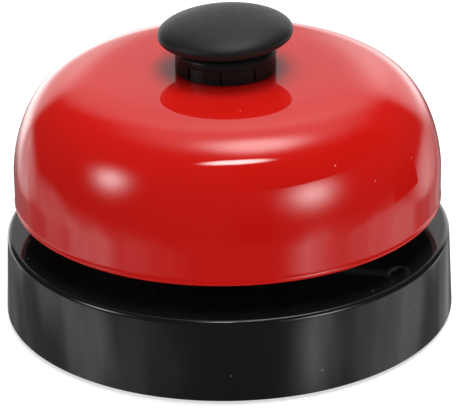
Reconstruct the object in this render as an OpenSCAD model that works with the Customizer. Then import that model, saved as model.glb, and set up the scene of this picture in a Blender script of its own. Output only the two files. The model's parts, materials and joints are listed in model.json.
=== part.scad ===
// Counter call bell: a lacquered steel dome on a round base, rung by pressing the button on top.
// Millimetres, +Z up. The origin is the centre of the plane that the rubber feet rest on.
// The hammer swings in the XZ plane, on a pin that lies along Y.

/* [Base] */
// Diameter across the base's bottom edge
base_d = 85; // [84:0.5:90]
// Height of the base shell
base_h = 15.6; // [14:0.2:20]
// How much the side leans in from its bottom edge to its top edge
base_draft = 0.65; // [0:0.05:1.5]
// Rounding of the base's top edge
base_edge_r = 1; // [0.5:0.1:2]
// Thickness of the base's side
base_wall = 2.6; // [2.2:0.1:4]
// Thickness of the base's top
base_top_t = 2.2; // [1.6:0.1:3]
// Thickness of the bottom cover
cover_t = 1.6; // [1.4:0.1:2]
// How far the rubber feet stand below the base's bottom edge
foot_proud = 0.6; // [0.4:0.1:1.5]
// Diameter of a rubber foot
foot_d = 10; // [8:0.5:12]

/* [Gong] */
// Outside diameter of the dome's wall
dome_d = 80.2; // [79:0.2:81]
// Height of the dome from its rim to its crown
dome_h = 25.65; // [25.2:0.05:26]
// Height of the upright wall above the rim
dome_skirt_h = 6.3; // [5:0.1:7]
// Sheet thickness of the dome
dome_t = 0.9; // [0.7:0.1:1]
// Flatness of the crown: higher is flatter
crown_power = 6.9; // [5:0.1:8]
// Fullness of the shoulder: higher is fuller
shoulder_power = 1.66; // [1.6:0.01:1.8]
// Gap between the top of the base and the dome's rim
rim_gap = 6; // [5:0.1:7]

/* [Neck] */
// Diameter of the two black rings between the dome and the button
neck_d = 18.8; // [17:0.1:19]
// Height of the lower ring
collar_h = 2.75; // [2.5:0.05:3]
// Height of the upper ring
ring_nut_h = 1.6; // [1.5:0.05:2]
// Number of spanner slits in the lower ring
slit_count = 9; // [3:1:12]
// Width of a spanner slit
slit_w = 0.8; // [0.5:0.1:1.2]

/* [Button] */
// Largest diameter of the push button
button_d = 25.1; // [23:0.1:27]
// Height of the button's crown above its widest line
button_crown_h = 3.4; // [3:0.1:4]
// Rounding of the button's edge
button_edge_r = 1.3; // [1:0.1:1.5]
// Gap at rest between the upper ring and the button's lower edge
button_lift = 1.45; // [1.2:0.05:2]
// How far the button goes down
button_travel = 2.97; // [2:0.01:2.97]

/* [Striker] */
// Length of the hammer arm from its pivot to the centre of the head
arm_l = 27.6; // [26:0.1:28]
// Rise of the hammer arm above level at rest, in degrees
arm_rise = 12.1; // [10:0.1:13]
// Diameter of the hammer head
head_d = 7.2; // [6:0.1:7.4]
// Length of the lever's tail from its pivot to its nose
tail_l = 6.5; // [6:0.1:7]
// How far the hammer swings when the button is pressed, in degrees
hammer_swing = 26.4; // [20:0.1:26.4]
// Diameter of the pivot pin and of the plunger rod
pin_d = 3; // [2.8:0.1:3.2]

/* [Hidden] */
$fn = 96;

// Colours
lacquer_red = [0.74, 0.06, 0.05];
gloss_black = [0.05, 0.05, 0.055];
satin_black = [0.16, 0.16, 0.165];
nylon_black = [0.09, 0.09, 0.095];
zinc = [0.72, 0.73, 0.74];
bright_steel = [0.8, 0.81, 0.82];
spring_steel = [0.55, 0.56, 0.58];
brass = [0.8, 0.64, 0.3];
nylon_white = [0.9, 0.89, 0.84];
fibre_red = [0.45, 0.16, 0.12];
rubber_black = [0.08, 0.08, 0.08];

// Clearances on the radius
eps = 0.01;
snug = 0.02;
running = 0.05;
loose = 0.2;

// Levels from the desk upwards
z_base = foot_proud;
z_base_top = z_base + base_h;
z_rim = z_base_top + rim_gap;
z_crown = z_rim + dome_h;
z_collar_top = z_crown + collar_h;
z_neck_top = z_collar_top + ring_nut_h;
z_button = z_neck_top + button_lift;
z_button_wide = z_button + button_edge_r;
z_button_top = z_button_wide + button_crown_h;

// Base shell and cover
base_r = base_d / 2;
base_top_r = base_r - base_draft;
cavity_r = base_top_r - base_wall;
cover_recess = 0.6;
z_cover = z_base + cover_recess;
z_cover_top = z_cover + cover_t;
cover_r = cavity_r + 0.8;
z_ceiling = z_base_top - base_top_t;
boss_r = 3.4;
cover_screw_ring_r = 30;
foot_ring_r = 31;
foot_peg_r = 1.6;
foot_head_r = 2.6;
foot_head_h = 0.8;

// Self-tapping screws
screw_r = 1.25;
screw_head_r = 2.7;
screw_head_h = 1.8;
screw_slot_w = 0.7;
screw_slot_depth = 0.9;
cover_screw_l = 7;
frame_screw_l = 8;

// Bridge frame
sheet = 1.5;
bend_r = 1;
bend_outer_r = bend_r + sheet;
leg_inner_y = 7.5;
leg_outer_y = leg_inner_y + sheet;
frame_x0 = -8;
frame_x1 = 11;
frame_foot_l = 8;
frame_screw_y = 13.4;
frame_screw_x = [-4.5, 7.5];
z_bridge = 36.6;
z_bridge_top = z_bridge + sheet;

// Dome
dome_r = dome_d / 2;
z_shoulder = z_rim + dome_skirt_h;
shoulder_h = z_crown - z_shoulder;
lip_r = 0.55;
dome_hole_r = 6.6;
seat_r = 12;
dome_steps = 30;

// Centre post
post_top_r = 5;
post_mid_r = 7;
post_low_r = 4;
post_gap_to_nut_top = 0.3;
z_post_shoulder = z_crown - dome_t - 1;
z_post_top = z_neck_top - post_gap_to_nut_top;
post_bore_r = 2.3;
z_counterbore = 42.6;
counterbore_r = 3.3;
z_post_end = 31.1;
bush_flange_t = 0.8;
z_spring_seat = z_counterbore + bush_flange_t;
lock_washer_t = 0.8;
lock_washer_r = 6.4;
nut_h = 3.2;
nut_r = 6.9;

// Neck
neck_r = neck_d / 2;
slit_depth = 0.7;
spigot_r = dome_hole_r - running;

// Hammer and pivot
pivot_x = 6.5;
pivot_z = 24.6;
half_swing = hammer_swing / 2;
nose_r = 1.2;
nose_z = pivot_z + tail_l * sin(half_swing);
z_tip = nose_z + nose_r + running;
hub_r = 2.9;
hub_half = 2.5;
arm_w = 2.4;
arm_h = 2.6;
head_r = head_d / 2;
head_pin_r = 1.1;
head_pin_depth = 2.4;
tail_w = 4;
tail_t = 1.3;
spacer_r = 2.3;
pin_head_r = 2.8;
pin_head_t = 1.2;
pivot_clip_y = leg_outer_y + running;
pin_tail = 1;

// Button and plunger
button_r = button_d / 2;
button_wall = 1.35;
button_mouth_r = neck_r + 1;
z_boss = z_post_top + button_travel + 0.13;
z_insert = z_boss - 0.4;
button_boss_r = 4.4;
insert_r = 2.9;
z_roof = z_button_top - button_wall;
z_rod_top = z_roof - 0.8;
pin_r = pin_d / 2;
groove_r = pin_r - 0.4;
clip_t = 0.6;
clip_r = 3.2;
stop_washer_t = 0.55;
z_stop_washer = z_post_end - running - stop_washer_t;
z_rod_clip = z_stop_washer - clip_t;
tip_r = 2.5;
tip_face_r = 1.8;
tip_cone_h = 0.9;
tip_floor = 1.2;
z_rod_end = z_tip + tip_floor;

// Springs
return_coil_r = 2.55;
return_wire_r = 0.25;
return_turns = 8;
hammer_coil_r = 3.2;
hammer_wire_r = 0.3;
hammer_turns = 4;
hammer_coil_y0 = hub_half + 0.9;
hammer_coil_y1 = leg_inner_y - 0.8;
still_leg_l = 6;
arm_leg_l = 9;
wire_sides = 10;
turn_steps = 24;

// Points along a quarter circle, from angle a0 to a1, about (cx, cy)
function arc(cx, cy, r, a0, a1, steps = 8) =
    [for (i = [0:steps]) let (a = a0 + (a1 - a0) * i / steps) [cx + r * cos(a), cy + r * sin(a)]];

// Point on the dome's outer curve, for t from 0 at the wall to 90 at the crown
function dome_point(t) =
    [dome_r * pow(cos(t), 2 / crown_power), z_shoulder + shoulder_h * pow(sin(t), 2 / shoulder_power)];

// Outward direction of the dome's outer curve at a point
function dome_normal(p) =
    let (u = p[0] / dome_r, v = (p[1] - z_shoulder) / shoulder_h,
        gx = crown_power / dome_r * pow(u, crown_power - 1),
        gy = shoulder_power / shoulder_h * pow(v, shoulder_power - 1),
        g = norm([gx, gy]))
    [gx / g, gy / g];

// The dome's curve between the wall and the seat, moved inwards by depth
function dome_curve(depth) =
    [for (i = [0:dome_steps]) let (p = dome_point(88.8 * i / dome_steps))
        if (p[0] > seat_r) p - depth * dome_normal(p)];

// The same points, last one first
function reversed(v) = [for (i = [len(v) - 1:-1:0]) v[i]];

// Direction of a path of points at point i
function heading(path, i) =
    let (d = path[min(i + 1, len(path) - 1)] - path[max(i - 1, 0)]) d / norm(d);

// A direction turned as little as it needs to stand square to t
function squared(v, t) = let (s = v - (v * t) * t) s / norm(s);

// A ring with a plain bore
module ring(outer, inner, h) {
    difference() {
        cylinder(r = outer, h = h);
        translate([0, 0, -1]) cylinder(r = inner, h = h + 2);
    }
}

// An open retaining clip that snaps into a groove
module retaining_clip(outer, inner, h) {
    difference() {
        ring(outer, inner, h);
        translate([-inner * 0.9, 0, -1]) cube([inner * 1.8, outer + 1, h + 2]);
        for (a = [45, 135, 270]) rotate([0, 0, a])
            translate([inner + 1.25, 0, -1]) cylinder(r = 0.55, h = h + 2, $fn = 24);
    }
}

// A pan-head screw standing on z = 0, with its shank below
module pan_screw(l) {
    difference() {
        union() {
            translate([0, 0, -l]) cylinder(r = screw_r, h = l + eps, $fn = 32);
            translate([0, 0, -l - 1.2]) cylinder(r1 = 0.3, r2 = screw_r, h = 1.2 + eps, $fn = 32);
            cylinder(r = screw_head_r, h = screw_head_h * 0.5, $fn = 40);
            translate([0, 0, screw_head_h * 0.5 - eps])
                cylinder(r1 = screw_head_r, r2 = screw_head_r * 0.66, h = screw_head_h * 0.5, $fn = 40);
        }
        for (a = [0, 90]) rotate([0, 0, a])
            translate([-screw_head_r * 0.62, -screw_slot_w / 2, screw_head_h - screw_slot_depth])
                cube([screw_head_r * 1.24, screw_slot_w, screw_head_h]);
    }
}

// A round wire swept along a path of points; up is any direction across the path's start
module wire(path, r, up) {
    n = len(path);
    across = [for (i = 0, s = squared(up, heading(path, 0)); i < n;
        i = i + 1, s = squared(s, heading(path, min(i, n - 1)))) s];
    points = [for (i = [0:n - 1]) let (w = cross(across[i], heading(path, i)))
        for (k = [0:wire_sides - 1]) let (q = 360 * k / wire_sides)
            path[i] + r * (cos(q) * across[i] + sin(q) * w)];
    sides = [for (i = [0:n - 2]) for (k = [0:wire_sides - 1])
        let (m = (k + 1) % wire_sides, p = i * wire_sides, q = p + wire_sides)
        [p + k, p + m, q + m, q + k]];
    ends = [[for (k = [wire_sides - 1:-1:0]) k],
        [for (k = [0:wire_sides - 1]) (n - 1) * wire_sides + k]];
    polyhedron(points, concat(sides, ends), convexity = 10);
}

// Places its children at the screw bosses of the bridge frame
module at_frame_screws() {
    for (x = frame_screw_x) for (s = [-1, 1]) translate([x, s * frame_screw_y, 0]) children();
}

// Places its children at the three cover screws
module at_cover_screws() {
    for (i = [0:2]) rotate([0, 0, 120 * i]) translate([cover_screw_ring_r, 0, 0]) children();
}

// Places its children at the three feet
module at_feet() {
    for (i = [0:2]) rotate([0, 0, 60 + 120 * i]) translate([foot_ring_r, 0, 0]) children();
}

// Places its children on the hammer's pivot, with z along the pin towards +Y
module at_pivot() {
    translate([pivot_x, 0, pivot_z]) rotate([-90, 0, 0]) children();
}

// Moulded base: a drum with a closed flat top, open below, with bosses for the screws
module base_shell() {
    edge = base_edge_r;
    color(gloss_black) difference() {
        union() {
            rotate_extrude($fn = 180) polygon(concat(
                [[cover_r + loose, z_base], [base_r, z_base]],
                arc(base_top_r - edge, z_base_top - edge, edge, 2, 90),
                [[0, z_base_top], [0, z_ceiling], [cavity_r, z_ceiling], [cavity_r, z_cover_top],
                    [cover_r + loose, z_cover_top]]));
            at_frame_screws() translate([0, 0, z_ceiling - 8]) cylinder(r = boss_r, h = 8 + eps);
            at_cover_screws() translate([0, 0, z_cover_top])
                cylinder(r = boss_r, h = z_ceiling - z_cover_top + eps);
        }
        at_frame_screws() translate([0, 0, z_ceiling - 7.5])
            cylinder(r = screw_r + snug, h = base_top_t + 9);
        at_cover_screws() translate([0, 0, z_cover_top - 1])
            cylinder(r = screw_r + snug, h = cover_screw_l + 1.5);
    }
}

// Pressed steel disc that closes the base from below
module bottom_cover() {
    color(zinc) difference() {
        translate([0, 0, z_cover]) cylinder(r = cover_r, h = cover_t, $fn = 180);
        at_cover_screws() {
            translate([0, 0, z_cover - 1]) cylinder(r = screw_r + running, h = cover_t + 2);
            translate([0, 0, z_cover - eps])
                cylinder(r1 = screw_head_r + running, r2 = screw_r + running, h = cover_t - 0.2);
        }
        at_feet() translate([0, 0, z_cover - 1]) cylinder(r = foot_peg_r + running, h = cover_t + 2);
    }
}

// Countersunk screws that hold the cover
module cover_screws() {
    color(zinc) at_cover_screws() difference() {
        union() {
            translate([0, 0, z_cover])
                cylinder(r1 = screw_head_r, r2 = screw_r, h = cover_t - 0.2, $fn = 40);
            translate([0, 0, z_cover]) cylinder(r = screw_r, h = cover_t + cover_screw_l - 0.5, $fn = 32);
        }
        for (a = [0, 90]) rotate([0, 0, a])
            translate([-1.3, -screw_slot_w / 2, z_cover - 1]) cube([2.6, screw_slot_w, 1.8]);
    }
}

// Push-in rubber feet: a pad below the cover, a peg through it and a head above it
module rubber_feet() {
    color(rubber_black) at_feet() {
        cylinder(r1 = foot_d / 2 - 0.4, r2 = foot_d / 2, h = 0.4 + eps);
        translate([0, 0, 0.4]) cylinder(r = foot_d / 2, h = z_cover - 0.4);
        translate([0, 0, z_cover - eps]) cylinder(r = foot_peg_r, h = cover_t + 2 * eps);
        translate([0, 0, z_cover_top])
            cylinder(r1 = foot_head_r, r2 = foot_peg_r, h = foot_head_h);
    }
}

// Half of the bridge's folded section, in the YZ plane
module bridge_half_section() {
    bend_y = leg_outer_y - bend_outer_r;
    bend_z = z_bridge_top - bend_outer_r;
    foot_bend_y = leg_outer_y + bend_r;
    foot_bend_z = z_base_top + bend_outer_r;
    translate([-eps, z_bridge]) square([bend_y + 2 * eps, sheet]);
    translate([leg_inner_y, foot_bend_z - eps]) square([sheet, bend_z - foot_bend_z + 2 * eps]);
    translate([foot_bend_y - eps, z_base_top]) square([frame_foot_l, sheet]);
    intersection() {
        translate([bend_y, bend_z]) difference() {
            circle(r = bend_outer_r);
            circle(r = bend_r);
        }
        translate([bend_y, bend_z]) square(bend_outer_r);
    }
    intersection() {
        translate([foot_bend_y, foot_bend_z]) difference() {
            circle(r = bend_outer_r);
            circle(r = bend_r);
        }
        translate([foot_bend_y - bend_outer_r, foot_bend_z - bend_outer_r]) square(bend_outer_r);
    }
}

// Folded steel bridge that carries the centre post and the hammer's pivot
module bridge_frame() {
    frame_l = frame_x1 - frame_x0;
    color(zinc) difference() {
        translate([frame_x0, 0, 0]) rotate([90, 0, 90]) linear_extrude(frame_l) {
            bridge_half_section();
            mirror([1, 0]) bridge_half_section();
        }
        translate([0, 0, z_bridge - 1]) cylinder(r = post_low_r + running, h = sheet + 2);
        at_pivot() translate([0, 0, -20]) cylinder(r = pin_r + snug, h = 40);
        at_frame_screws() translate([0, 0, z_base_top - 1])
            cylinder(r = screw_r + loose, h = sheet + 2);
        translate([pivot_x - still_leg_l, leg_inner_y - 1, pivot_z + hammer_coil_r])
            rotate([-90, 0, 0]) cylinder(r = hammer_wire_r + 0.15, h = sheet + 2, $fn = 24);
    }
}

// Screws that hold the bridge frame to the base
module frame_screws() {
    color(zinc) at_frame_screws() translate([0, 0, z_base_top + sheet]) pan_screw(frame_screw_l);
}

// Turned post: it stands on the bridge, carries the dome and guides the plunger
module centre_post() {
    color(zinc) difference() {
        union() {
            translate([0, 0, z_post_end]) cylinder(r = post_low_r, h = z_bridge_top - z_post_end + eps);
            translate([0, 0, z_bridge_top]) cylinder(r = post_mid_r, h = z_post_shoulder - z_bridge_top);
            translate([0, 0, z_post_shoulder - eps])
                cylinder(r = post_top_r, h = z_post_top - z_post_shoulder + eps);
        }
        translate([0, 0, z_post_end - 1]) cylinder(r = post_bore_r, h = z_post_top);
        translate([0, 0, z_counterbore]) cylinder(r = counterbore_r, h = z_post_top);
    }
}

// Split spring washer under the bridge
module post_lock_washer() {
    color(spring_steel) translate([0, 0, z_bridge - lock_washer_t]) difference() {
        ring(lock_washer_r, post_low_r + running, lock_washer_t);
        rotate([0, 0, 200]) translate([post_low_r - 1, -0.4, -1]) rotate([20, 0, 0])
            cube([lock_washer_r, 0.5, lock_washer_t + 4]);
    }
}

// Hexagon nut that clamps the post to the bridge
module post_nut() {
    color(zinc) translate([0, 0, z_bridge - lock_washer_t - nut_h]) difference() {
        cylinder(r = nut_r, h = nut_h, $fn = 6);
        translate([0, 0, -1]) cylinder(r = post_low_r + snug, h = nut_h + 2);
    }
}

// Flanged bush in the post, in which the plunger rod slides
module guide_bush() {
    color(brass) difference() {
        union() {
            translate([0, 0, z_post_end + 0.5])
                cylinder(r = post_bore_r - snug, h = z_counterbore - z_post_end);
            translate([0, 0, z_counterbore]) cylinder(r = counterbore_r - running, h = bush_flange_t);
        }
        translate([0, 0, z_post_end - 1]) cylinder(r = pin_r + running, h = z_post_top);
    }
}

// Fibre washer between the post's shoulder and the dome
module dome_seat_washer() {
    color(fibre_red) translate([0, 0, z_post_shoulder])
        ring(seat_r - 3.5, post_top_r + running, z_crown - dome_t - z_post_shoulder);
}

// The gong: a spun steel dome with a flat crown, a full shoulder and a rounded lip
module gong_dome() {
    lip_x = dome_r - dome_t / 2;
    z_lip = z_rim + lip_r;
    color(lacquer_red) rotate_extrude($fn = 180) {
        polygon(concat(
            [[dome_r, z_lip]],
            dome_curve(0),
            [[seat_r, z_crown], [dome_hole_r, z_crown], [dome_hole_r, z_crown - dome_t],
                [seat_r, z_crown - dome_t]],
            reversed(dome_curve(dome_t)),
            [[dome_r - dome_t, z_lip]]));
        translate([lip_x, z_lip]) circle(r = lip_r, $fn = 24);
    }
}

// Lower black ring: its spigot centres the dome, and its slits take a pin spanner
module dome_collar() {
    color(nylon_black) difference() {
        union() {
            translate([0, 0, z_crown]) cylinder(r = neck_r, h = collar_h, $fn = 120);
            translate([0, 0, z_crown - dome_t + 0.1]) cylinder(r = spigot_r, h = dome_t);
        }
        translate([0, 0, z_crown - 2]) cylinder(r = post_top_r + running, h = collar_h + 4);
        for (i = [0:slit_count - 1]) rotate([0, 0, 360 * i / slit_count - 96])
            translate([neck_r - slit_depth, -slit_w / 2, z_crown + 0.25])
                cube([slit_depth + 1, slit_w, collar_h - 0.5]);
    }
}

// Upper black ring: the nut that clamps the dome on the post
module dome_ring_nut() {
    edge = 0.6;
    color(nylon_black) rotate_extrude($fn = 120) polygon(concat(
        [[post_top_r + snug, z_collar_top], [neck_r - 0.15, z_collar_top], [neck_r, z_collar_top + 0.15]],
        arc(neck_r - edge, z_neck_top - edge, edge, 0, 90),
        [[post_top_r + snug, z_neck_top]]));
}

// Mushroom button: hollow below, so that it comes down over the neck
module push_button() {
    crown_steps = 24;
    boss_h = z_roof - z_boss;
    crown = [for (i = [1:crown_steps]) let (a = 90 * i / crown_steps)
        [button_r * cos(a), z_button_wide + button_crown_h * sin(a)]];
    roof = [for (i = [crown_steps:-1:0]) let (a = 90 * i / crown_steps)
        [button_mouth_r * cos(a), z_button_wide + (button_crown_h - button_wall) * sin(a)]];
    color(satin_black) difference() {
        union() {
            rotate_extrude($fn = 144) polygon(concat(
                [[button_mouth_r, z_button]],
                arc(button_r - button_edge_r, z_button_wide, button_edge_r, -90, 0),
                crown, roof));
            translate([0, 0, z_boss]) cylinder(r = button_boss_r, h = boss_h + 0.1);
        }
        translate([0, 0, z_boss - 1]) cylinder(r = insert_r + snug, h = boss_h + 1 - 0.3, $fn = 6);
    }
}

// Hexagonal brass insert in the button's boss, tapped for the rod
module button_insert() {
    color(brass) translate([0, 0, z_insert]) difference() {
        cylinder(r = insert_r, h = z_roof - 0.35 - z_insert, $fn = 6);
        translate([0, 0, -1]) cylinder(r = pin_r + snug, h = z_rod_top + running - z_insert + 1);
    }
}

// Steel rod of the plunger, with a groove for its clip
module plunger_rod() {
    color(bright_steel) difference() {
        translate([0, 0, z_rod_end + snug]) cylinder(r = pin_r, h = z_rod_top - z_rod_end - snug);
        translate([0, 0, z_rod_clip - snug]) ring(pin_r + 1, groove_r, clip_t + 2 * snug);
    }
}

// Compression spring that lifts the button
module return_spring() {
    z0 = z_spring_seat + return_wire_r + snug;
    z1 = z_insert - return_wire_r - snug;
    n = return_turns * turn_steps;
    path = [for (i = [0:n])
        let (a = 360 * i / turn_steps,
            f = min(max((i - turn_steps) / (n - 2 * turn_steps), 0), 1))
        [return_coil_r * cos(a), return_coil_r * sin(a),
            z0 + 2 * return_wire_r * min(i / turn_steps, 1) * 1.02
            + (z1 - z0 - 4.08 * return_wire_r) * f
            + 2 * return_wire_r * max(i / turn_steps - return_turns + 1, 0) * 1.02]];
    color(spring_steel) wire(path, return_wire_r, [0, 0, 1]);
}

// Clip on the rod, below the post, that stops the button coming out
module rod_clip() {
    color(spring_steel) translate([0, 0, z_rod_clip]) retaining_clip(clip_r, groove_r + snug, clip_t);
}

// Fibre washer that lands on the end of the post when the button springs back
module stop_washer() {
    color(fibre_red) translate([0, 0, z_stop_washer]) ring(clip_r + 1.2, pin_r + snug, stop_washer_t);
}

// Nylon cap on the rod's lower end, which pushes the lever's nose
module pusher_tip() {
    color(nylon_white) difference() {
        union() {
            translate([0, 0, z_tip]) cylinder(r1 = tip_face_r, r2 = tip_r, h = tip_cone_h + eps);
            translate([0, 0, z_tip + tip_cone_h])
                cylinder(r = tip_r, h = z_rod_clip - z_tip - tip_cone_h - 0.1);
        }
        translate([0, 0, z_rod_end]) cylinder(r = pin_r + snug, h = 10);
    }
}

// First-class lever: its nose lies under the plunger and its arm carries the head
module hammer_lever() {
    color(zinc) difference() {
        translate([pivot_x, 0, pivot_z]) {
            rotate([90, 0, 0]) cylinder(r = hub_r, h = 2 * hub_half, center = true);
            rotate([0, -arm_rise, 0]) {
                translate([0, -arm_w / 2, -arm_h / 2])
                    cube([arm_l - head_r + 0.3, arm_w, arm_h]);
                translate([arm_l - head_r, 0, 0]) rotate([0, 90, 0])
                    cylinder(r = head_pin_r, h = head_pin_depth, $fn = 32);
            }
            rotate([0, 180 + half_swing, 0]) {
                translate([0, -tail_w / 2, -tail_t / 2]) cube([tail_l, tail_w, tail_t]);
                translate([tail_l, 0, 0]) rotate([90, 0, 0])
                    cylinder(r = nose_r, h = tail_w, center = true, $fn = 32);
            }
        }
        at_pivot() translate([0, 0, -20]) cylinder(r = pin_r + running, h = 40);
    }
}

// Steel ball riveted on the end of the arm
module hammer_head() {
    color(bright_steel) translate([pivot_x, 0, pivot_z]) rotate([0, -arm_rise, 0])
        translate([arm_l, 0, 0]) difference() {
            sphere(r = head_r, $fn = 64);
            translate([-head_r - 1, -5, -5]) cube([1.4, 10, 10]);
            translate([head_pin_depth - head_r + running, 0, 0]) rotate([0, -90, 0])
                cylinder(r = head_pin_r + snug, h = head_r, $fn = 32);
        }
}

// Pin on which the hammer swings
module hammer_pivot_pin() {
    color(bright_steel) at_pivot() difference() {
        union() {
            translate([0, 0, -leg_outer_y - pin_head_t]) cylinder(r = pin_head_r, h = pin_head_t);
            translate([0, 0, -leg_outer_y - eps])
                cylinder(r = pin_r, h = 2 * leg_outer_y + clip_t + pin_tail);
        }
        translate([0, 0, pivot_clip_y - snug]) ring(pin_r + 1, groove_r, clip_t + 2 * snug);
    }
}

// Clip on the free end of the pivot pin
module pivot_clip() {
    color(spring_steel) at_pivot() translate([0, 0, pivot_clip_y])
        retaining_clip(clip_r, groove_r + snug, clip_t);
}

// Two sleeves on the pin that keep the lever in the middle of the frame
module pivot_spacers() {
    sleeve_l = leg_inner_y - hub_half - 2 * running;
    color(brass) at_pivot() for (a = [0, 180]) rotate([a, 0, 0])
        translate([0, 0, hub_half + running]) ring(spacer_r, pin_r + snug, sleeve_l);
}

// Torsion spring round one sleeve: one leg hooks into the bridge, the other presses the arm down
module hammer_spring() {
    top_z = pivot_z + hammer_coil_r;
    bend = 0.8;
    n = hammer_turns * turn_steps;
    hook_x = pivot_x + arm_leg_l;
    hook_z = pivot_z + arm_leg_l * tan(arm_rise) + arm_h / 2 / cos(arm_rise) + hammer_wire_r + running;
    anchor_x = pivot_x - still_leg_l;
    anchor = [[anchor_x, leg_outer_y + 0.5, top_z], [anchor_x, leg_inner_y, top_z],
        for (p = arc(anchor_x + bend, hammer_coil_y1 + bend, bend, 180, 270, 5)) [p[0], p[1], top_z]];
    coil = [for (i = [0:n]) let (a = 90 - 360 * i / turn_steps)
        [pivot_x + hammer_coil_r * cos(a),
            hammer_coil_y1 + (hammer_coil_y0 - hammer_coil_y1) * i / n,
            pivot_z + hammer_coil_r * sin(a)]];
    hook = [for (p = arc(hook_x - bend, hammer_coil_y0 - bend, bend, 90, 0, 5)) [p[0], p[1], hook_z],
        [hook_x, -arm_w / 2, hook_z]];
    color(spring_steel) wire(concat(anchor, coil, hook), hammer_wire_r, [0, 0, 1]);
}

base_shell();
bottom_cover();
cover_screws();
rubber_feet();
bridge_frame();
frame_screws();
centre_post();
post_lock_washer();
post_nut();
guide_bush();
dome_seat_washer();
gong_dome();
dome_collar();
dome_ring_nut();
push_button();
button_insert();
plunger_rod();
return_spring();
rod_clip();
stop_washer();
pusher_tip();
hammer_lever();
hammer_head();
hammer_pivot_pin();
pivot_clip();
pivot_spacers();
hammer_spring();
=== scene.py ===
"""Looks of a counter call bell: red lacquered dome, black base, black push button."""
import json
import math

import bmesh
import bpy
from mathutils import Matrix, Vector


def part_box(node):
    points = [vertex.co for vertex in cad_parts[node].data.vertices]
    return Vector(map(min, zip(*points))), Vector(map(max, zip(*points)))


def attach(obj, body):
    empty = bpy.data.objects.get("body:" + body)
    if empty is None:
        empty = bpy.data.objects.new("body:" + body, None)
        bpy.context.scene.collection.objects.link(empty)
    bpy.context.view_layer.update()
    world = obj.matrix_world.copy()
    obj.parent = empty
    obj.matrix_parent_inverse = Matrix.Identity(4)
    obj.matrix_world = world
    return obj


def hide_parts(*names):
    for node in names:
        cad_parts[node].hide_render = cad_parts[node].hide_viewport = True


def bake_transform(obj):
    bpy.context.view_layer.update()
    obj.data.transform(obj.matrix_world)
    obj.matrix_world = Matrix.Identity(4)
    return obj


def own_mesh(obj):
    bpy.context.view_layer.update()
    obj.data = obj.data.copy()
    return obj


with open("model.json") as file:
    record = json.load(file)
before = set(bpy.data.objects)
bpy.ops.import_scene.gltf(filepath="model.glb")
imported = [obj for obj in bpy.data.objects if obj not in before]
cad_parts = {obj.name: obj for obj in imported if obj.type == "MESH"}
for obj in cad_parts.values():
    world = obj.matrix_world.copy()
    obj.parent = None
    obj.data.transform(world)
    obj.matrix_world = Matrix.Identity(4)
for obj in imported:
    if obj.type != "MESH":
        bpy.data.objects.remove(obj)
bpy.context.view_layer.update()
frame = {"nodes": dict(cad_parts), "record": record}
MM = 0.001
UP = Vector((0, 0, 1))
TO_CAMERA = Vector((0, -1, 0))

# ------------------------------------------------------------------ sizes, in millimetres


def level(node, top):
    """Height of a CAD node's top or bottom, in millimetres."""
    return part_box(node)[1 if top else 0].z / MM


def reach(node):
    """Largest X of a CAD node, in millimetres: the radius of a round one."""
    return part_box(node)[1].x / MM


BASE_Z0 = level("base_shell", False)
BASE_Z1 = level("base_shell", True)
BASE_R = 42.5
BASE_TOP_R = BASE_R - 0.65
BASE_EDGE = 1.0
COVER_TOP = level("bottom_cover", True)
COVER_R = reach("bottom_cover")
RIM_Z = level("gong_dome", False)
CROWN_Z = level("gong_dome", True)
DOME_R = 40.1
DOME_T = 0.9
DOME_HOLE_R = 6.6
SKIRT_H = 6.3
CROWN_POWER = 6.9
SHOULDER_POWER = 1.66
LIP_R = 0.55
NECK_R = 9.4
COLLAR_Z1 = level("dome_collar", True)
NECK_Z1 = level("dome_ring_nut", True)
BUTTON_Z0 = level("push_button", False)
BUTTON_R = 12.55
BUTTON_EDGE = 1.3
BUTTON_CROWN = 3.4
BUTTON_WALL = 1.35
BUTTON_SKEW = 2.2

# The camera: its height above the horizon, how far it turns about its line of sight and up from the
# base's foot, in degrees, and its focal length on a 36 mm sensor
CAMERA_ELEVATION = 26.25
CAMERA_ROLL = -0.95
CAMERA_PITCH = 1.837
CAMERA_LENS = 225.66

# ------------------------------------------------------------------ mesh helpers


def arc(cx, cz, r, a0, a1, steps):
    """Points on a circular arc from angle a0 to a1, in degrees."""
    turn = [math.radians(a0 + (a1 - a0) * i / steps) for i in range(steps + 1)]
    return [(cx + r * math.cos(a), cz + r * math.sin(a)) for a in turn]


def new_mesh(name, bm, sharp=35):
    """Turns a bmesh in millimetres into an object in metres, smooth but for its sharp edges."""
    bmesh.ops.recalc_face_normals(bm, faces=bm.faces)
    for face in bm.faces:
        face.smooth = True
    for edge in bm.edges:
        if edge.is_manifold and edge.calc_face_angle() > math.radians(sharp):
            edge.smooth = False
    bmesh.ops.scale(bm, vec=(MM, MM, MM), verts=bm.verts)
    mesh = bpy.data.meshes.new(name)
    bm.to_mesh(mesh)
    bm.free()
    obj = bpy.data.objects.new(name, mesh)
    bpy.context.scene.collection.objects.link(obj)
    return obj


def lathe(bm, profile, segments, radius=None):
    """Revolves a closed profile of (r, z) points about Z. radius(angle, r, z) may vary the radius."""
    rings = []
    for r, z in profile:
        if r < 1e-6:
            rings.append([bm.verts.new((0, 0, z))])
            continue
        ring = []
        for j in range(segments):
            a = 2 * math.pi * j / segments
            rr = radius(a, r, z) if radius else r
            ring.append(bm.verts.new((rr * math.cos(a), rr * math.sin(a), z)))
        rings.append(ring)
    for low, high in zip(rings, rings[1:] + rings[:1]):
        for j in range(segments):
            k = (j + 1) % segments
            corners = [low[j % len(low)], low[k % len(low)], high[k % len(high)], high[j % len(high)]]
            unique = [v for i, v in enumerate(corners) if v not in corners[:i]]
            if len(unique) > 2:
                bm.faces.new(unique)


# ------------------------------------------------------------------ material helpers


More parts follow.
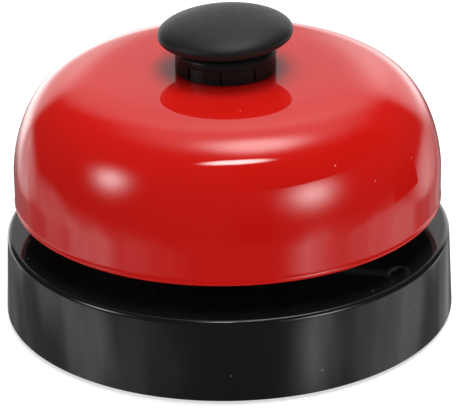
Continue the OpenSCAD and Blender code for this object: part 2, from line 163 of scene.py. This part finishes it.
def math_node(tree, operation, a, b=0.0):
    """Output of a math node whose inputs are numbers or other outputs."""
    node = tree.nodes.new("ShaderNodeMath")
    node.operation = operation
    for socket, value in zip(node.inputs, (a, b)):
        if isinstance(value, (int, float)):
            socket.default_value = value
        else:
            tree.links.new(value, socket)
    return node.outputs["Value"]


def range_node(tree, source, low, high, a=0.0, b=1.0, smooth=False):
    """Maps source from low..high to a..b, clamped, and with eased ends if smooth."""
    node = tree.nodes.new("ShaderNodeMapRange")
    if smooth:
        node.interpolation_type = "SMOOTHSTEP"
    node.inputs["From Min"].default_value = low
    node.inputs["From Max"].default_value = high
    node.inputs["To Min"].default_value = a
    node.inputs["To Max"].default_value = b
    tree.links.new(source, node.inputs["Value"])
    return node.outputs["Result"]


def noise_node(tree, coords, scale, detail, rough, stretch):
    """Noise over coords, in cells a unit of length, drawn out along the axes with a small stretch."""
    mapping = tree.nodes.new("ShaderNodeMapping")
    mapping.inputs["Scale"].default_value = stretch
    tree.links.new(coords, mapping.inputs["Vector"])
    tex = tree.nodes.new("ShaderNodeTexNoise")
    tex.inputs["Scale"].default_value = scale
    tex.inputs["Detail"].default_value = detail
    tex.inputs["Roughness"].default_value = rough
    tree.links.new(mapping.outputs["Vector"], tex.inputs["Vector"])
    return tex.outputs["Fac"]


class Shader:
    """A node material with a principled surface and a few short ways to add detail."""

    def __init__(self, name, **values):
        self.material = bpy.data.materials.new(name)
        self.material.use_nodes = True
        self.tree = self.material.node_tree
        self.surface = self.tree.nodes["Principled BSDF"]
        self.coords = self.tree.nodes.new("ShaderNodeTexCoord").outputs["Object"]
        for key, value in values.items():
            self.set(key.replace("_", " "), value)

    def set(self, socket, value):
        self.surface.inputs[socket].default_value = value

    def link(self, output, socket):
        self.tree.links.new(output, self.surface.inputs[socket])

    def noise(self, scale, detail=2.0, rough=0.5, stretch=(1, 1, 1)):
        """Noise fixed to the object: scale is in cells a metre."""
        return noise_node(self.tree, self.coords, scale, detail, rough, stretch)

    def ramp(self, source, low, high, a=0.0, b=1.0):
        return range_node(self.tree, source, low, high, a, b)

    def math(self, operation, a, b):
        return math_node(self.tree, operation, a, b)

    def mix(self, factor, first, second):
        """Blends two colours by a factor output."""
        node = self.tree.nodes.new("ShaderNodeMix")
        node.data_type = "RGBA"
        self.tree.links.new(factor, node.inputs["Factor"])
        for socket, value in ((node.inputs["A"], first), (node.inputs["B"], second)):
            if isinstance(value, tuple):
                socket.default_value = (*value, 1.0)
            else:
                self.tree.links.new(value, socket)
        return node.outputs["Result"]

    def bump(self, height, depth_mm, socket="Normal", strength=1.0):
        """Adds a bump of the given depth to the surface or to its coat."""
        node = self.tree.nodes.new("ShaderNodeBump")
        node.inputs["Distance"].default_value = depth_mm * MM
        node.inputs["Strength"].default_value = strength
        self.tree.links.new(height, node.inputs["Height"])
        self.link(node.outputs["Normal"], socket)

    def specks(self, scale, size, keep):
        """Small round specks: scale is cells a metre, size a share of a cell, keep the share shown."""
        tex = self.tree.nodes.new("ShaderNodeTexVoronoi")
        tex.inputs["Scale"].default_value = scale
        tex.inputs["Randomness"].default_value = 1.0
        self.tree.links.new(self.coords, tex.inputs["Vector"])
        near = self.ramp(tex.outputs["Distance"], size * 0.6, size, 1.0, 0.0)
        split = self.tree.nodes.new("ShaderNodeSeparateColor")
        self.tree.links.new(tex.outputs["Color"], split.inputs["Color"])
        chosen = self.math("LESS_THAN", split.outputs["Red"], keep)
        return self.math("MULTIPLY", near, chosen)


def red_lacquer():
    """Deep gloss lacquer: a red coat with a faint orange peel and a few dust specks under the gloss."""
    s = Shader("red_lacquer", Roughness=0.5, Coat_Weight=1.0, Coat_Roughness=0.015, Coat_IOR=1.5)
    s.set("Specular IOR Level", 0.0)
    tone = s.ramp(s.noise(45, 2.0), 0.3, 0.7)
    colour = s.mix(tone, (0.475, 0.0075, 0.0050), (0.450, 0.0068, 0.0045))
    dust = s.specks(420, 0.08, 0.05)
    s.link(s.mix(s.math("MULTIPLY", dust, 0.5), colour, (0.8, 0.45, 0.4)), "Base Color")
    s.bump(s.noise(300, 2.0, 0.45), 0.0035, "Coat Normal")
    s.link(s.ramp(s.noise(900, 3.0), 0.35, 0.75, 0.012, 0.035), "Coat Roughness")
    return s.material


def base_gloss():
    """Moulded gloss plastic: long soft ripples in the side, fine scuffs and some dust."""
    s = Shader("base_gloss")
    s.set("Specular IOR Level", 0.5)
    dust = s.specks(430, 0.085, 0.12)
    s.link(s.mix(s.math("MULTIPLY", dust, 0.55), (0.0072, 0.0072, 0.0074), (0.3, 0.3, 0.3)), "Base Color")
    s.link(s.ramp(s.noise(260, 6.0, 0.65, (1, 1, 0.35)), 0.45, 0.8, 0.07, 0.2), "Roughness")
    s.bump(s.noise(70, 1.5, 0.4, (1, 1, 0.25)), 0.055)
    return s.material


def button_satin():
    """Satin moulded plastic with a very fine grain."""
    s = Shader("button_satin")
    s.set("Specular IOR Level", 0.24)
    s.set("Sheen Weight", 0.08)
    s.set("Sheen Roughness", 0.25)
    tone = s.ramp(s.noise(300, 3.0), 0.3, 0.7)
    s.link(s.mix(tone, (0.0080, 0.0082, 0.0082), (0.0105, 0.0107, 0.0107)), "Base Color")
    s.link(s.ramp(s.noise(700, 4.0), 0.3, 0.8, 0.43, 0.51), "Roughness")
    s.bump(s.noise(9000, 2.0, 0.6), 0.010, strength=0.3)
    return s.material


def neck_black():
    """Glossier black of the two rings below the button."""
    s = Shader("neck_black")
    s.link(s.mix(s.ramp(s.noise(500, 3.0), 0.3, 0.7), (0.0095, 0.0095, 0.0095), (0.0120, 0.0120, 0.0120)),
           "Base Color")
    s.set("Specular IOR Level", 0.15)
    s.link(s.ramp(s.noise(900, 3.0), 0.3, 0.8, 0.30, 0.40), "Roughness")
    s.bump(s.noise(1500, 2.0), 0.003)
    return s.material


def metal(name, colour, rough, stretch=(1, 1, 1), scale=1500, tint=0.12, depth=0.003):
    """A bare or plated metal with fine marks, drawn out along one axis by stretch."""
    s = Shader(name, Metallic=1.0)
    marks = s.noise(scale, 4.0, 0.6, stretch)
    dark = tuple(c * (1 - tint) for c in colour)
    s.link(s.mix(s.ramp(s.noise(200, 3.0), 0.3, 0.7), colour, dark), "Base Color")
    s.link(s.ramp(marks, 0.3, 0.75, rough * 0.8, rough * 1.35), "Roughness")
    s.bump(marks, depth)
    return s.material


def dull(name, colour, rough, grain_scale, depth, spread=0.25):
    """A matt moulded or pressed material with a fine grain."""
    s = Shader(name)
    light = tuple(min(1.0, c * (1 + spread)) for c in colour)
    s.link(s.mix(s.ramp(s.noise(grain_scale * 0.3, 3.0), 0.3, 0.7), colour, light), "Base Color")
    s.link(s.ramp(s.noise(grain_scale, 3.0), 0.3, 0.8, rough * 0.85, min(1.0, rough * 1.1)), "Roughness")
    s.bump(s.noise(grain_scale, 3.0), depth)
    return s.material


MATERIALS = {
    "red_lacquer": red_lacquer(),
    "base_gloss": base_gloss(),
    "button_satin": button_satin(),
    "neck_black": neck_black(),
    "cover_steel": metal("cover_steel", (0.42, 0.43, 0.44), 0.36, (1, 0.04, 1)),
    "zinc_steel": metal("zinc_steel", (0.50, 0.51, 0.53), 0.34),
    "bright_steel": metal("bright_steel", (0.66, 0.66, 0.67), 0.16, scale=2600),
    "spring_steel": metal("spring_steel", (0.30, 0.30, 0.32), 0.24, scale=3000),
    "brass": metal("brass", (0.68, 0.47, 0.17), 0.22, scale=2600),
    "fibre": dull("fibre", (0.22, 0.05, 0.035), 0.8, 4000, 0.02),
    "white_nylon": dull("white_nylon", (0.72, 0.70, 0.63), 0.45, 1500, 0.004, 0.06),
    "foot_rubber": dull("foot_rubber", (0.018, 0.018, 0.018), 0.75, 5000, 0.015),
    "dome_inside": dull("dome_inside", (0.11, 0.075, 0.07), 0.5, 900, 0.006),
}


def dress(obj, slot):
    """Gives a piece the material of the given slot."""
    obj.data.materials.clear()
    obj.data.materials.append(MATERIALS[slot])


# ------------------------------------------------------------------ visible pieces


def dome_point(t):
    """Outer curve of the dome, for t from 0 degrees at the wall to 90 at the crown."""
    a = math.radians(t)
    shoulder = RIM_Z + SKIRT_H
    return (DOME_R * math.cos(a) ** (2 / CROWN_POWER),
            shoulder + (CROWN_Z - shoulder) * math.sin(a) ** (2 / SHOULDER_POWER))


def dome_inwards(point, depth):
    """The point moved inwards from the dome's outer curve, square to it."""
    shoulder = RIM_Z + SKIRT_H
    height = CROWN_Z - shoulder
    u = point[0] / DOME_R
    v = max(point[1] - shoulder, 0.0) / height
    gx = CROWN_POWER / DOME_R * u ** (CROWN_POWER - 1)
    gz = SHOULDER_POWER / height * v ** (SHOULDER_POWER - 1)
    g = math.hypot(gx, gz)
    return (point[0] - depth * gx / g, point[1] - depth * gz / g)


def build_dome():
    """Red outside, dull inside, with a rounded lip and a hole at the crown for the neck."""
    steps, last = 90, 89.6
    curve = [dome_point(last * (i / steps)) for i in range(steps + 1)]
    inside = [dome_inwards(p, DOME_T) for p in curve]
    wall_x = DOME_R - DOME_T / 2
    lip = arc(wall_x, RIM_Z + LIP_R, LIP_R, 145, 395, 22)
    outer = lip[-1:] + [(DOME_R, RIM_Z + 1.6)] + curve
    crown = [(DOME_HOLE_R, CROWN_Z), (DOME_HOLE_R, CROWN_Z - DOME_T)]
    profile = lip[:-1] + outer + crown + inside[::-1] + [(DOME_R - DOME_T, RIM_Z + 1.6)]
    bm = bmesh.new()
    lathe(bm, profile, 320)
    dome = new_mesh("dome", bm)
    dome.data.materials.append(MATERIALS["red_lacquer"])
    dome.data.materials.append(MATERIALS["dome_inside"])
    for face in dome.data.polygons:
        c, n = face.center, face.normal
        outward = c.x * n.x + c.y * n.y
        hidden = outward < 0 and c.z > (RIM_Z + LIP_R) * MM
        under = n.z < -0.5 and c.z > (CROWN_Z - 2) * MM
        if hidden or under:
            face.material_index = 1
    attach(dome, "base")
    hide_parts("gong_dome")


def build_base():
    """Drum with a closed top and a slight draft, hollow above its cover."""
    top_edge = arc(BASE_TOP_R - BASE_EDGE, BASE_Z1 - BASE_EDGE, BASE_EDGE, 2, 90, 14)
    foot_edge = arc(BASE_R - 0.25, BASE_Z0 + 0.25, 0.25, -90, 0, 5)
    inner_r = COVER_R + 0.2
    cavity_r = BASE_TOP_R - 2.6
    ceiling = BASE_Z1 - 2.2
    profile = [(inner_r, BASE_Z0), *foot_edge, *top_edge, (30, BASE_Z1), (12, BASE_Z1), (0, BASE_Z1),
               (0, ceiling), (cavity_r, ceiling), (cavity_r, COVER_TOP), (inner_r, COVER_TOP)]
    bm = bmesh.new()
    lathe(bm, profile, 320)
    bmesh.ops.remove_doubles(bm, verts=bm.verts, dist=1e-5)
    base = new_mesh("base_drum", bm, 25)
    dress(base, "base_gloss")
    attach(base, "base")
    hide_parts("base_shell")


def build_collar():
    """Lower ring of the neck, with upright slits."""
    slits, half, depth = 9, math.radians(1.1), 0.35
    first = math.radians(-96)

    def radius(a, r, z):
        off = (a - first + math.pi / slits) % (2 * math.pi / slits) - math.pi / slits
        inside = abs(off) < half and CROWN_Z + 0.2 < z < COLLAR_Z1 - 0.2
        return r - depth if inside and r > NECK_R - 0.3 else r

    z0, z1 = CROWN_Z, COLLAR_Z1
    outer = [(NECK_R - 0.12, z0), (NECK_R, z0 + 0.12), (NECK_R, z0 + 0.2), (NECK_R, z0 + 0.25),
             (NECK_R, z1 - 0.25), (NECK_R, z1 - 0.2), (NECK_R, z1 - 0.16), (NECK_R - 0.14, z1 - 0.02)]
    profile = [(5.05, z0 - 0.8), (6.55, z0 - 0.8), (6.55, z0), *outer, (5.05, z1 - 0.02)]
    bm = bmesh.new()
    lathe(bm, profile, 720, radius=radius)
    collar = new_mesh("collar", bm, 30)
    dress(collar, "neck_black")
    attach(collar, "base")
    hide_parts("dome_collar")


def build_ring_nut():
    """Upper ring of the neck, with a rounded top edge."""
    edge = 1.0
    z0 = COLLAR_Z1
    profile = [(5.02, z0), (NECK_R - 0.15, z0), (NECK_R - 0.04, z0 + 0.05), (NECK_R, z0 + 0.15),
               *arc(NECK_R - edge, NECK_Z1 - edge, edge, 0, 90, 10), (5.02, NECK_Z1)]
    bm = bmesh.new()
    lathe(bm, profile, 192)
    nut = new_mesh("ring_nut", bm, 30)
    dress(nut, "neck_black")
    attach(nut, "base")
    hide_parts("dome_ring_nut")


def tube(bm, path, r, sides=10):
    """Sweeps a round wire of radius r along a path of points, with flat ends."""
    points = [Vector(p) for p in path]
    side = None
    rings = []
    for i, point in enumerate(points):
        along = (points[min(i + 1, len(points) - 1)] - points[max(i - 1, 0)]).normalized()
        side = (along.orthogonal() if side is None else side - along * side.dot(along)).normalized()
        up = along.cross(side)
        turns = [2 * math.pi * j / sides for j in range(sides)]
        rings.append([bm.verts.new(point + (side * math.cos(a) + up * math.sin(a)) * r) for a in turns])
    for low, high in zip(rings, rings[1:]):
        for j in range(sides):
            k = (j + 1) % sides
            bm.faces.new([low[j], low[k], high[k], high[j]])
    bm.faces.new(rings[0][::-1])
    bm.faces.new(rings[-1])


def build_return_spring():
    """Compression spring round the rod, with one closed turn at each end."""
    wire_r, coil_r, turns, steps = 0.25, 2.55, 8, 28
    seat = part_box("return_spring")[0].z / MM
    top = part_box("return_spring")[1].z / MM
    z0, z1 = seat + wire_r, top - wire_r
    closed = 2.04 * wire_r
    path = []
    for i in range(turns * steps + 1):
        turn = i / steps
        a = 2 * math.pi * turn
        free = min(max((turn - 1) / (turns - 2), 0), 1)
        z = z0 + closed * (min(turn, 1) + max(turn - turns + 1, 0)) + (z1 - z0 - 2 * closed) * free
        path.append((coil_r * math.cos(a), coil_r * math.sin(a), z))
    bm = bmesh.new()
    tube(bm, path, wire_r)
    spring = new_mesh("return_coil", bm, 60)
    dress(spring, "spring_steel")
    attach(spring, "base")
    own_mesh(spring)
    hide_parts("return_spring")


def build_hammer_spring():
    """Torsion spring beside the lever: one leg hooks into the bridge, the other over the arm."""
    wire_r, coil_r, turns, steps, bend = 0.3, 3.2, 4, 28, 0.8
    pivot_x, pivot_z = 6.5, 24.6
    frame_y, arm_y = 6.7, 3.4
    still_x, hook_x = pivot_x - 6, pivot_x + 9
    top_z = pivot_z + coil_r
    hook_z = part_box("hammer_spring")[1].z / MM - wire_r
    path = [(still_x, 9.5, top_z), (still_x, frame_y + bend + 0.4, top_z)]
    path += [(x, y, top_z) for x, y in arc(still_x + bend, frame_y + bend, bend, 180, 270, 6)]
    for i in range(turns * steps + 1):
        a = math.radians(90) - 2 * math.pi * i / steps
        y = frame_y + (arm_y - frame_y) * i / (turns * steps)
        path.append((pivot_x + coil_r * math.cos(a), y, pivot_z + coil_r * math.sin(a)))
    path += [(x, y, hook_z) for x, y in arc(hook_x - bend, arm_y - bend, bend, 90, 0, 6)]
    path.append((hook_x, -1.2, hook_z))
    bm = bmesh.new()
    tube(bm, path, wire_r)
    spring = new_mesh("hammer_coil", bm, 60)
    dress(spring, "spring_steel")
    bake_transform(spring)
    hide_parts("hammer_spring")


def build_button():
    """Mushroom button, hollow below round its boss, and a little askew on the rod."""
    wide = BUTTON_Z0 + BUTTON_EDGE
    mouth = NECK_R + 1
    roof = BUTTON_CROWN - BUTTON_WALL
    crown = [(BUTTON_R * math.cos(a), wide + BUTTON_CROWN * math.sin(a))
             for a in (math.pi / 2 * i / 48 for i in range(1, 48))]
    hollow = [(mouth * math.cos(a), wide + roof * math.sin(a))
              for a in (math.pi / 2 * i / 24 for i in range(1, 25))]
    boss_r, insert_r = 4.4, 2.95
    boss_z = level("button_insert", False) + 0.65
    hollow = [p for p in hollow if p[0] > boss_r]
    flash = arc(BUTTON_R - BUTTON_EDGE + 0.25, BUTTON_Z0 + 0.1, 0.14, 200, 340, 6)
    edge = arc(BUTTON_R - BUTTON_EDGE, wide, BUTTON_EDGE, -68, 0, 14)
    profile = [(mouth, BUTTON_Z0), *flash, *edge, *crown, (0, wide + BUTTON_CROWN),
               (0, boss_z + 0.3), (insert_r, boss_z + 0.3), (insert_r, boss_z), (boss_r, boss_z),
               *hollow[::-1], (mouth, wide)]
    bm = bmesh.new()
    lathe(bm, profile, 224)
    skew = Matrix.Rotation(math.radians(-BUTTON_SKEW), 3, "Y")
    bmesh.ops.rotate(bm, cent=(0, 0, wide), matrix=skew, verts=bm.verts)
    button = new_mesh("button", bm, 30)
    dress(button, "button_satin")
    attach(button, "plunger")
    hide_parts("push_button")


build_base()
build_dome()
build_collar()
build_ring_nut()
build_button()
build_return_spring()
build_hammer_spring()

SLOT_OF = {part["node"]: part["material_slot"] for part in frame["record"]["subparts"]}
for node_name, node_object in frame["nodes"].items():
    dress(node_object, SLOT_OF[node_name])

# ------------------------------------------------------------------ floor, lights, camera


def build_floor():
    """A pale table: near white to the camera, with a faint shadow, and left out of reflections."""
    bm = bmesh.new()
    bmesh.ops.create_grid(bm, x_segments=1, y_segments=1, size=4000)
    floor = new_mesh("floor", bm)
    s = Shader("floor_white", Roughness=0.8)
    s.set("Specular IOR Level", 0.0)
    s.link(s.mix(s.ramp(s.noise(3, 2.0), 0.3, 0.7), (0.50, 0.50, 0.50), (0.49, 0.49, 0.49)), "Base Color")
    s.set("Emission Color", (1, 1, 1, 1))
    s.set("Emission Strength", 0.62)
    floor.data.materials.append(s.material)
    floor.visible_glossy = False


def build_flags():
    """Black cards round the front right, seen only in reflections. In low views from behind they keep
    the right lamp's glare off the flat tops, and they leave a gap for its highlight on the dome."""
    radius, first, last = 66, 2, 88
    bm = bmesh.new()
    columns = []
    for azimuth in range(first, last + 1, 2):
        x, y = radius * math.sin(math.radians(azimuth)), -radius * math.cos(math.radians(azimuth))
        columns.append([bm.verts.new((x, y, z)) for z in (24, 38, 55, 92)])
    for i, (near, far) in enumerate(zip(columns, columns[1:])):
        in_gap = 16 <= first + 2 * i < 70
        for low in ((2,) if in_gap else (0, 2)):
            bm.faces.new([near[low], far[low], far[low + 1], near[low + 1]])
    bmesh.ops.delete(bm, geom=[v for v in bm.verts if not v.link_faces], context="VERTS")
    flags = new_mesh("flags", bm)
    s = Shader("card_black", Roughness=1.0)
    s.set("Specular IOR Level", 0.0)
    s.link(s.mix(s.ramp(s.noise(50, 2.0), 0.3, 0.7), (0.0, 0.0, 0.0), (0.002, 0.002, 0.002)), "Base Color")
    flags.data.materials.append(s.material)
    flags.visible_camera = False
    flags.visible_diffuse = False
    flags.visible_shadow = False


def compass(azimuth, elevation):
    """Unit direction: azimuth 0 is towards the camera's side, 90 is +X; elevation is above the horizon."""
    a, e = math.radians(azimuth), math.radians(elevation)
    return Vector((math.sin(a) * math.cos(e), -math.cos(a) * math.cos(e), math.sin(e)))


class Sky:
    """The studio that the bell reflects, as soft patches of light on a dim sphere."""

    def __init__(self, tree, ambient):
        self.tree = tree
        self.direction = tree.nodes.new("ShaderNodeTexCoord").outputs["Generated"]
        self.total = ambient

    def math(self, operation, a, b=0.0):
        return math_node(self.tree, operation, a, b)

    def along(self, vector):
        """How far the viewed direction leans along a vector."""
        node = self.tree.nodes.new("ShaderNodeVectorMath")
        node.operation = "DOT_PRODUCT"
        self.tree.links.new(self.direction, node.inputs[0])
        node.inputs[1].default_value = vector
        return node.outputs["Value"]

    def patch(self, azimuth, elevation, half_width, half_height, glow, edge=1.5):
        """A lamp's soft face, with its half sizes in degrees; a higher edge is crisper."""
        centre = compass(azimuth, elevation)
        side = Vector((math.cos(math.radians(azimuth)), math.sin(math.radians(azimuth)), 0))
        up = centre.cross(side) * -1
        if up.z < 0:
            up = -up
        x = self.math("DIVIDE", self.along(side), math.sin(math.radians(half_width)))
        y = self.math("DIVIDE", self.along(up), math.sin(math.radians(half_height)))
        reach2 = self.math("ADD", self.math("MULTIPLY", x, x), self.math("MULTIPLY", y, y))
        fall = self.math("EXPONENT", self.math("MULTIPLY", self.math("POWER", reach2, edge), -1.0))
        front = self.math("GREATER_THAN", self.along(centre), 0.0)
        shown = self.math("MULTIPLY", self.math("MULTIPLY", fall, front), glow)
        self.total = self.math("ADD", self.total, shown)

    def ground(self, glow, dark_front):
        """The pale table below the horizon, shaded on the camera's side."""
        below = range_node(self.tree, self.along(UP), -0.06, -0.24, smooth=True)
        front = range_node(self.tree, self.along(TO_CAMERA), 0.45, 0.85, 1.0, dark_front, smooth=True)
        lit = self.math("MULTIPLY", self.math("MULTIPLY", below, front), glow)
        self.total = self.math("ADD", self.total, lit)

    def streaks(self, least, most):
        """Uneven upright streaks over everything near or below the horizon, as of a cluttered room."""
        uneven = noise_node(self.tree, self.direction, 4.0, 2.0, 0.5, (1, 1, 0.25))
        strength = range_node(self.tree, uneven, 0.38, 0.62, least, most)
        low = range_node(self.tree, self.along(UP), 0.1, -0.2)
        change = self.math("MULTIPLY", self.math("SUBTRACT", strength, 1.0), low)
        self.total = self.math("MULTIPLY", self.total, self.math("ADD", change, 1.0))


def build_world():
    """White to the camera, and a dim studio with soft lamps to everything else."""
    world = bpy.data.worlds.new("studio")
    world.use_nodes = True
    tree = world.node_tree
    sky = Sky(tree, 0.035)
    # The two lamps in front, left and right
    sky.patch(-69, 21.5, 9, 9, 8.5, 1.0)
    sky.patch(46.5, 17, 11.5, 10, 8.5, 1.0)
    # The overhead light: its wide spill, its core and the bright bar at its front
    sky.patch(165, 68, 27, 30, 0.90, 2.5)
    sky.patch(140, 78, 13, 13, 6.8)
    sky.patch(10, 70, 13, 3.8, 20.0, 2.5)
    # The pale wall behind, and two brighter panels in front of it
    sky.patch(180, 32, 24, 20, 0.64, 3)
    sky.patch(180, -5, 34, 9, 1.1, 2)
    sky.patch(158, 8, 18, 20, 1.15, 4)
    sky.patch(-161, 2, 18, 20, 1.15, 4)
    # Lit parts of the table and of the room beyond it
    sky.patch(-79, -25, 15, 13, 0.85, 2)
    sky.patch(-106, -16, 16, 10, 0.45, 3)
    sky.patch(-138, -12, 17, 10, 1.1, 2.5)
    sky.patch(131, -13, 16, 9, 0.9, 2.5)
    sky.patch(45.5, -23, 11, 13, 1.35, 1.2)
    sky.patch(90, -27, 25, 14, 0.7, 4)
    sky.patch(150, -22, 12, 10, 0.2, 3)
    sky.patch(-48, -26, 20, 12, 0.25, 2)
    sky.ground(0.14, 0.1)
    sky.streaks(0.7, 1.25)
    back = tree.nodes["Background"]
    tree.links.new(sky.total, back.inputs["Strength"])
    white = tree.nodes.new("ShaderNodeBackground")
    white.inputs["Strength"].default_value = 1.0
    path = tree.nodes.new("ShaderNodeLightPath")
    mix = tree.nodes.new("ShaderNodeMixShader")
    tree.links.new(path.outputs["Is Camera Ray"], mix.inputs["Fac"])
    tree.links.new(back.outputs["Background"], mix.inputs[1])
    tree.links.new(white.outputs["Background"], mix.inputs[2])
    tree.links.new(mix.outputs["Shader"], tree.nodes["World Output"].inputs["Surface"])
    back.inputs["Color"].default_value = (1, 1, 1, 1)
    white.inputs["Color"].default_value = (1, 1, 1, 1)
    bpy.context.scene.world = world


def build_camera():
    """A long lens in front and above, aimed so that the bell fills the picture."""
    distance = 13 * BASE_R * MM
    elevation = math.radians(CAMERA_ELEVATION)
    focus = Vector((0, 0, BASE_Z0 * MM))
    place = focus + Vector((0, -distance * math.cos(elevation), distance * math.sin(elevation)))
    look = (focus - place).to_track_quat("-Z", "Y").to_matrix()
    roll = Matrix.Rotation(math.radians(CAMERA_ROLL), 3, "Z")
    pitch = Matrix.Rotation(math.radians(CAMERA_PITCH), 3, "X")
    data = bpy.data.cameras.new("camera")
    data.sensor_width = 36.0
    data.lens = CAMERA_LENS
    data.clip_start, data.clip_end = 0.01, 20
    camera = bpy.data.objects.new("camera", data)
    camera.matrix_world = Matrix.Translation(place) @ (look @ roll @ pitch).to_4x4()
    bpy.context.scene.collection.objects.link(camera)
    bpy.context.scene.camera = camera


def softbox(name, place, target, size, power):
    """An area light, in metres, that faces target; the sky's patches stand for it in reflections."""
    data = bpy.data.lights.new(name, "AREA")
    data.shape = "RECTANGLE"
    data.size, data.size_y = size
    data.energy = power
    lamp = bpy.data.objects.new(name, data)
    lamp.location = place
    lamp.rotation_mode = "QUATERNION"
    lamp.rotation_quaternion = (Vector(target) - Vector(place)).to_track_quat("-Z", "Y")
    lamp.visible_glossy = False
    bpy.context.scene.collection.objects.link(lamp)


build_floor()
build_flags()
build_world()
softbox("overhead", (0.0, 0.15, 0.9), (0, 0, 0.03), (0.7, 0.6), 5.5)
build_camera()
bpy.context.scene.view_settings.view_transform = "Standard"
